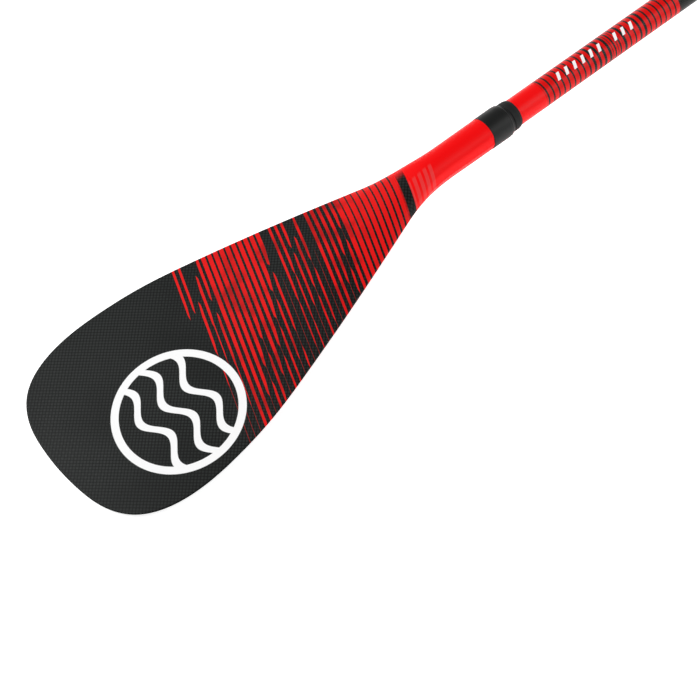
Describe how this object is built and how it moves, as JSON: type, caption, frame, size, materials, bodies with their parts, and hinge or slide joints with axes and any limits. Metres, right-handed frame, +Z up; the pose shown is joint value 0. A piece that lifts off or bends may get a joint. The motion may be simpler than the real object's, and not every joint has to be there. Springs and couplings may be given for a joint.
{
  "type": "single blade paddle",
  "caption": "Stand-up paddle with one flat teardrop blade, a take-apart neck socket, an adjustable tube shaft with lever clamp and a T-grip.",
  "frame": {"origin": "middle of the bounding box's bottom, on the floor that the paddle lies on", "axes": "+X along the length towards the T-grip, +Y across the blade, +Z up out of the power face; the paddle lies on its blade tip and its grip"},
  "size_m": [1.8482, 0.2158, 0.0618],
  "materials": {
    "carbon_blade": "gloss carbon weave under clear coat, red stripes",
    "shaft_laminate": "gloss red over carbon, dark rings",
    "carbon_tube": "gloss carbon weave",
    "black_plastic": "satin moulded",
    "red_plastic": "satin moulded",
    "nylon": "plain moulded",
    "foam": "closed-cell foam",
    "rubber": "matt",
    "soft_grip": "fine textured soft touch",
    "steel": "satin stainless"
  },
  "bodies": {
    "shaft": {"main_shaft": "shaft_laminate", "shaft_plug": "rubber", "stop_ring": "black_plastic", "snap_spring": "steel", "clamp_body": "black_plastic", "clamp_sleeve": "nylon", "clamp_bolt": "steel", "clamp_washers": "steel", "clamp_nut": "steel", "lever_pin": "steel"},
    "blade": {"blade_power_skin": "carbon_blade", "blade_back_skin": "carbon_blade", "blade_core": "foam", "neck_plug": "rubber", "neck_tube": "carbon_tube", "neck_collar": "black_plastic"},
    "snap_button": {"snap_button": "steel"},
    "clamp_lever": {"clamp_lever": "red_plastic"},
    "guide_bush": {"guide_bush": "nylon"},
    "extension": {"extension_tube": "carbon_tube", "handle_spigot": "black_plastic", "stem_rivets": "steel", "grip_front_shell": "black_plastic", "grip_back_shell": "black_plastic", "grip_core": "foam", "grip_pad": "soft_grip"}
  },
  "joints": [
    {"name": "blade_pull", "type": "slide", "parent": "shaft", "child": "blade", "axis": [-0.9997, 0, 0.0228], "range_m": [0, 0.115], "deforming": ["snap_spring", "snap_button"]},
    {"name": "snap_press", "type": "slide", "parent": "shaft", "child": "snap_button", "axis": [0.0228, 0, 0.9997], "range_m": [0, 0.0048], "stiffness_N_per_m": 1500, "springref_m": -0.003, "deforming": ["snap_spring"]},
    {"name": "lever_swing", "type": "hinge", "parent": "shaft", "child": "clamp_lever", "pos_m": [0.39251, -0.024, 0.03791], "axis": [0.9997, 0, -0.0228], "range_deg": [0, 150]},
    {"name": "extension_slide", "type": "slide", "parent": "shaft", "child": "guide_bush", "axis": [0.9997, 0, -0.0228], "range_m": [-0.2, 0.25]},
    {"name": "handle_twist", "type": "hinge", "parent": "guide_bush", "child": "extension", "pos_m": [0.03632, 0, 0.03332], "axis": [0.9997, 0, -0.0228], "continuous": true}
  ]
}
